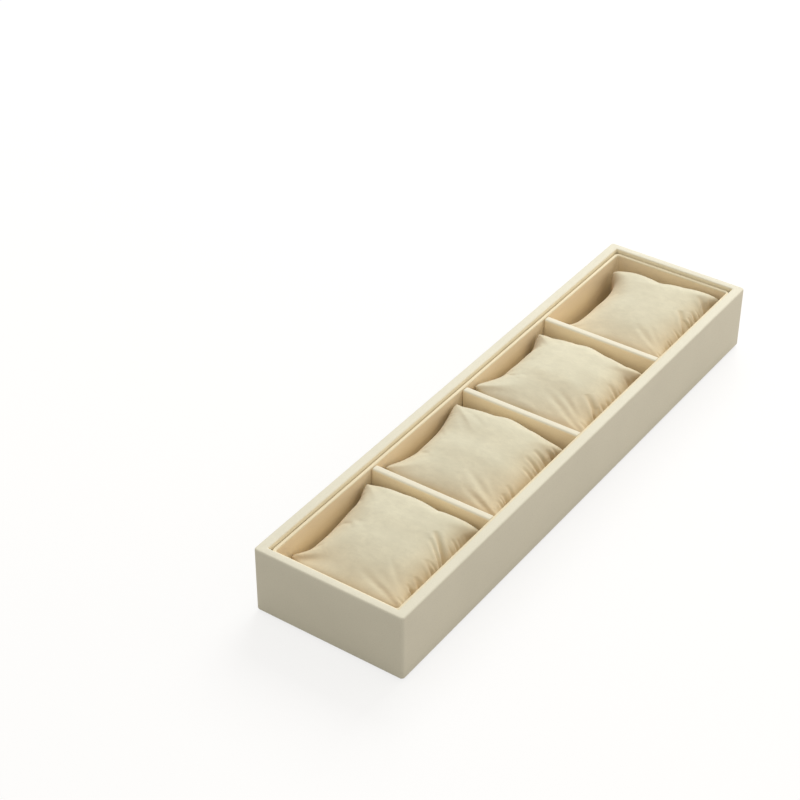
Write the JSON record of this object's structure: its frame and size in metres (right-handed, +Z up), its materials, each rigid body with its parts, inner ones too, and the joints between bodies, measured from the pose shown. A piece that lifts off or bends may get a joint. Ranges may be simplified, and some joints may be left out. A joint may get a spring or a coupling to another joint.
{
  "type": "jewelry display tray",
  "caption": "Low open tray wrapped in cream leatherette, with a stepped inner liner, dividers and stuffed suede pillows to hold bracelets or watches.",
  "frame": {"origin": "centre of the underside, on the surface that the tray stands on", "axes": "+X along the tray, +Y to its back, +Z up"},
  "size_m": [0.392, 0.1, 0.045],
  "materials": {
    "leatherette": "smooth cream leatherette with a soft sheen",
    "suede": "brushed beige suede cloth",
    "floor_lining": "flocked lining",
    "base_felt": "thin felt",
    "fibreboard": "bare fibreboard, hidden",
    "card": "bare grey card, hidden"
  },
  "bodies": {
    "root": {"outer_wrap": "leatherette", "liner_cover": "leatherette", "divider_cover_1": "leatherette", "divider_cover_2": "leatherette", "divider_cover_3": "leatherette", "floor_pad": "floor_lining", "base_cover": "base_felt", "pillow_1": "suede", "pillow_2": "suede", "pillow_3": "suede", "pillow_4": "suede", "front_wall_board": "fibreboard", "back_wall_board": "fibreboard", "left_end_board": "fibreboard", "right_end_board": "fibreboard", "base_board": "fibreboard", "divider_board_1": "fibreboard", "divider_board_2": "fibreboard", "divider_board_3": "fibreboard", "liner_card_front": "card", "liner_card_back": "card", "liner_card_left": "card", "liner_card_right": "card"}
  },
  "joints": []
}
